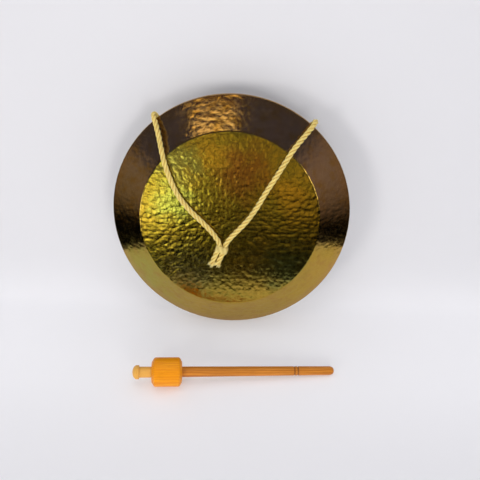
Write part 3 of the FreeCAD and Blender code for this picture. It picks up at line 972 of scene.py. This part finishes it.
def make_head():
    start, end = HEAD_START, HEAD_START + HEAD_LENGTH
    bore_start, bore_end = stick_radius(start) + 0.05 * MM, stick_radius(end) + 0.05 * MM
    corners = [(start, bore_start), (start, HEAD_END_RADIUS), (start + BEVEL_OUTER, HEAD_RADIUS)]
    corners += [(end - BEVEL_INNER, HEAD_RADIUS), (end, HEAD_END_RADIUS), (end, bore_end)]
    outline = eased(corners, 1.6 * MM)
    outline = [(start + 1 * MM, 0)] + outline + [(end - 1 * MM, 0)]
    head = turned_piece("turned_head", outline, 128)
    head.data.materials.append(wood("head_wood", HEAD_COLOURS))
    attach(head, "mallet")
    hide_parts("mallet_head")


STICK_COLOURS = [(0.60, 0.22, 0.025), (0.45, 0.15, 0.014), (0.24, 0.07, 0.008)]
HEAD_COLOURS = [(0.86, 0.33, 0.004), (0.76, 0.25, 0.003), (0.42, 0.12, 0.002)]


def wood(name, colours):
    """Turned wood with its grain along the mallet, under a thin oil finish."""
    material, nodes, shader = new_material(name)
    light, middle, dark = (rgb(*c) for c in colours)
    place = nodes.add("ShaderNodeTexCoord").outputs["Object"]
    own = nodes.add(
        "ShaderNodeMapping",
        {"Vector": place, "Location": mallet_origin, "Rotation": mallet_turn},
        vector_type="TEXTURE",
    ).outputs[0]
    board = nodes.vector("MULTIPLY", own, (0.09, 1, 1))
    bend = nodes.noise(nodes.vector("MULTIPLY", own, (0.5, 1, 1)), 60, 2.0)
    rings = nodes.add(
        "ShaderNodeTexWave",
        {"Vector": nodes.vector("ADD", board, (0, 0.06, 0.02)), "Scale": 130, "Distortion": 5,
         "Detail": 3, "Detail Scale": 2},
        wave_type="RINGS",
        rings_direction="X",
    ).outputs["Fac"]
    pores = nodes.noise(nodes.vector("MULTIPLY", own, (0.035, 1, 1)), 2300, 3.0, 0.7)
    colour = nodes.mix(nodes.range(rings, 0.2, 0.9), light, middle)
    colour = nodes.mix(nodes.range(bend, 0.35, 0.7, 0.0, 0.5), colour, middle)
    colour = nodes.mix(nodes.range(pores, 0.52, 0.75, 0.0, 0.6), colour, dark)
    if name == "stick_wood":
        along = nodes.add("ShaderNodeSeparateXYZ", {0: own}).outputs[0]
        neck = nodes.range(along, HEAD_START + HEAD_LENGTH, HEAD_START)
        colour = nodes.mix(nodes.math("MULTIPLY", neck, 0.8), colour, rgb(0.80, 0.44, 0.09))
        # The stick is painted darker along the middle of each groove.
        for inset in GROOVES:
            middle_of = MALLET_LENGTH - inset + GROOVE_WIDTH / 2
            off = nodes.math("ABSOLUTE", nodes.math("SUBTRACT", along, middle_of))
            groove_darkening = nodes.range(off, 1.2 * MM, 0.4 * MM, 0.0, 0.6)
            colour = nodes.mix(groove_darkening, colour, rgb(0.12, 0.035, 0.01))
    nodes.feed(shader.inputs["Base Color"], colour)
    nodes.feed(shader.inputs["Roughness"], nodes.range(pores, 0.4, 0.8, 0.36, 0.6))
    shader.inputs["Specular IOR Level"].default_value = 0.22
    shader.inputs["Coat Weight"].default_value = 0.08
    shader.inputs["Coat Roughness"].default_value = 0.25
    nodes.feed(shader.inputs["Normal"], nodes.bump(pores, 0.00015, 0.5))
    return material


make_stick()
make_head()


# ---------------------------------------------------------------- studio

SHEET_LEFT, SHEET_RIGHT, SHEET_FRONT = -0.28, 0.32, -0.275
# The wall stands clear of the gong, so that the cord loop can swing up in front of it.
WALL_GAP = 38 * MM
WALL_Y = gong_high.y + WALL_GAP
COVE = 0.09


def paper_material():
    """White paper with a little of its own light, most of it on the floor by the wall."""
    material, nodes, shader = new_material("white_paper")
    shader.inputs["Base Color"].default_value = rgb(0.66, 0.66, 0.68)
    shader.inputs["Roughness"].default_value = 0.9
    place = nodes.add("ShaderNodeTexCoord").outputs["Object"]
    part = nodes.add("ShaderNodeSeparateXYZ", {0: place}).outputs
    near = nodes.range(part[1], -0.33, -0.08, 0.055, 0.19)
    open_floor = nodes.range(part[1], 0.10, 0.01)
    lift = nodes.math("MULTIPLY_ADD", near, open_floor, 0.105)
    shader.inputs["Emission Color"].default_value = rgb(0.99, 0.98, 1.0)
    nodes.feed(shader.inputs["Emission Strength"], lift)
    return material


def one_sided(material):
    """Makes the back of the material's faces invisible."""
    nodes = Nodes(material.node_tree)
    shader = material.node_tree.nodes["Principled BSDF"]
    output = material.node_tree.nodes["Material Output"]
    back = nodes.add("ShaderNodeNewGeometry").outputs["Backfacing"]
    clear = nodes.add("ShaderNodeBsdfTransparent").outputs[0]
    both = nodes.add("ShaderNodeMixShader", {0: back, 1: shader.outputs[0], 2: clear})
    nodes.feed(output.inputs["Surface"], both.outputs[0])
    return material


def backdrop(name, left, right, front, top, material):
    """A floor that curves up into a wall behind the gong."""
    line = [Vector((front, 0)), Vector((WALL_Y - COVE, 0))]
    for k in range(1, 25):
        a = math.pi / 2 * k / 24
        line.append(Vector((WALL_Y - COVE + COVE * math.sin(a), COVE - COVE * math.cos(a))))
    line.append(Vector((WALL_Y, top)))
    points = [(x, p.x, p.y) for p in line for x in (left, right)]
    faces = [(2 * i, 2 * i + 1, 2 * i + 3, 2 * i + 2) for i in range(len(line) - 1)]
    obj = new_mesh(name, points, faces)
    obj.data.materials.append(material)
    return obj


def floor_part(name, left, right, front, back, material):
    corners = [(left, front, 0), (right, front, 0), (right, back, 0), (left, back, 0)]
    obj = new_mesh(name, corners, [(0, 1, 2, 3)], smooth=False)
    obj.data.materials.append(material)
    obj.visible_glossy = False


def glow(name, colour, strength):
    material = bpy.data.materials.new(name)
    material.use_nodes = True
    material.node_tree.nodes.clear()
    nodes = Nodes(material.node_tree)
    light = nodes.add("ShaderNodeEmission", {"Color": rgb(*colour), "Strength": strength})
    output = nodes.add("ShaderNodeOutputMaterial")
    nodes.feed(output.inputs["Surface"], light.outputs[0])
    return material


def reflected_card(name, corners, material):
    """A bright panel that shows only in reflections."""
    obj = new_mesh(name, corners, [(0, 1, 2, 3)], smooth=False)
    obj.data.materials.append(material)
    obj.visible_camera = False
    obj.visible_diffuse = False
    obj.visible_shadow = False


def aimed_light(name, place, target, width, power, colour=(1, 1, 1), glossy=True):
    data = bpy.data.lights.new(name, "AREA")
    data.shape = "SQUARE"
    data.size = width
    data.energy = power
    data.color = colour
    light = bpy.data.objects.new(name, data)
    light.location = place
    light.rotation_euler = (Vector(target) - Vector(place)).to_track_quat("-Z", "Y").to_euler()
    light.visible_glossy = glossy
    bpy.context.scene.collection.objects.link(light)
    return light


def direction(azimuth, elevation):
    """A unit vector: azimuth in degrees from -Y towards +X, elevation above the floor."""
    a, e = math.radians(azimuth), math.radians(elevation)
    return (math.sin(a) * math.cos(e), -math.cos(a) * math.cos(e), math.sin(e))


# What the metal sees of the room: middle direction, width in degrees, colour.
ROOM_PATCHES = [
    ((-1, 8), 24, (0.105, 0.092, 0.042)),
    ((-16, -2), 7, (2.9, 2.9, 1.7)),
    ((-5, 6), 5, (0.8, 0.65, 0.3)),
    ((7, 1), 7, (0.5, 0.38, 0.15)),
    ((-46, -4), 12, (6.0, 6.0, 3.4)),
    ((44, 12), 12, (5.0, 4.6, 2.6)),
    ((-80, 4), 22, (0.28, 0.22, 0.12)),
    ((75, 12), 30, (0.26, 0.19, 0.13)),
]


def make_world():
    world = bpy.data.worlds.new("studio")
    bpy.context.scene.world = world
    world.use_nodes = True
    world.node_tree.nodes.clear()
    nodes = Nodes(world.node_tree)
    toward = nodes.add("ShaderNodeTexCoord").outputs["Generated"]
    up = nodes.add("ShaderNodeSeparateXYZ", {0: toward}).outputs[2]
    below, above = rgb(0.002, 0.002, 0.002), rgb(0.085, 0.08, 0.105)
    room = nodes.mix(nodes.range(up, -0.14, 0.35), below, above)
    for (azimuth, elevation), width, colour in ROOM_PATCHES:
        facing = nodes.add(
            "ShaderNodeVectorMath", {0: toward, 1: direction(azimuth, elevation)},
            operation="DOT_PRODUCT",
        ).outputs["Value"]
        share = nodes.range(facing, math.cos(math.radians(width)), 1.0)
        room = nodes.mix(share, room, rgb(*colour), "ADD")
    rays = nodes.add("ShaderNodeLightPath").outputs
    soft = nodes.mix(rays["Is Camera Ray"], rgb(0.50, 0.50, 0.54), rgb(0.80, 0.81, 0.86))
    seen = nodes.mix(rays["Is Glossy Ray"], soft, room)
    back = nodes.add("ShaderNodeBackground", {"Color": seen})
    output = nodes.add("ShaderNodeOutputWorld")
    nodes.feed(output.inputs["Surface"], back.outputs[0])


def make_studio():
    paper = one_sided(paper_material())
    backdrop("sheet", SHEET_LEFT, SHEET_RIGHT, SHEET_FRONT, 0.9, paper)
    floor_part("floor_left", -2.5, SHEET_LEFT, -2.5, WALL_Y, paper)
    floor_part("floor_right", SHEET_RIGHT, 2.5, -2.5, WALL_Y, paper)
    floor_part("floor_front", SHEET_LEFT, SHEET_RIGHT, -2.5, SHEET_FRONT, paper)
    for name, left, right in (("wall_left", -2.5, SHEET_LEFT), ("wall_right", SHEET_RIGHT, 2.5)):
        side = backdrop(name, left, right, WALL_Y - COVE - 0.01, 0.9, paper)
        side.visible_glossy = False
    window = glow("window_light", (1.0, 0.62, 0.28), 0.24)
    lamp = glow("lamp_light", (1.0, 0.78, 0.3), 3.2)
    reflected_card("ceiling_window", [(-1.15, -0.60, 2.3), (0.04, -0.60, 2.3), (0.03, -0.28, 2.3),
                                      (-0.92, -0.28, 2.3)], window)
    reflected_card("ceiling_lamp", [(-1.3, -0.74, 2.29), (0.05, -0.74, 2.29), (0.05, -0.53, 2.29),
                                    (-1.1, -0.53, 2.29)], lamp)
    middle = (0, 0.0, 0.12)
    aimed_light("left_softbox", (-0.56, -1.2, 0.36), middle, 0.30, 4.3, (1.0, 0.97, 0.92), False)
    aimed_light("right_softbox", (0.28, -1.25, 0.38), middle, 0.28, 4.3, (1.0, 0.98, 0.95), False)
    aimed_light("overhead", (0, -0.5, 1.6), (0, 0, 0.05), 1.1, 4.0, glossy=False)
    make_world()
    bpy.context.scene.view_settings.view_transform = "Standard"


make_studio()
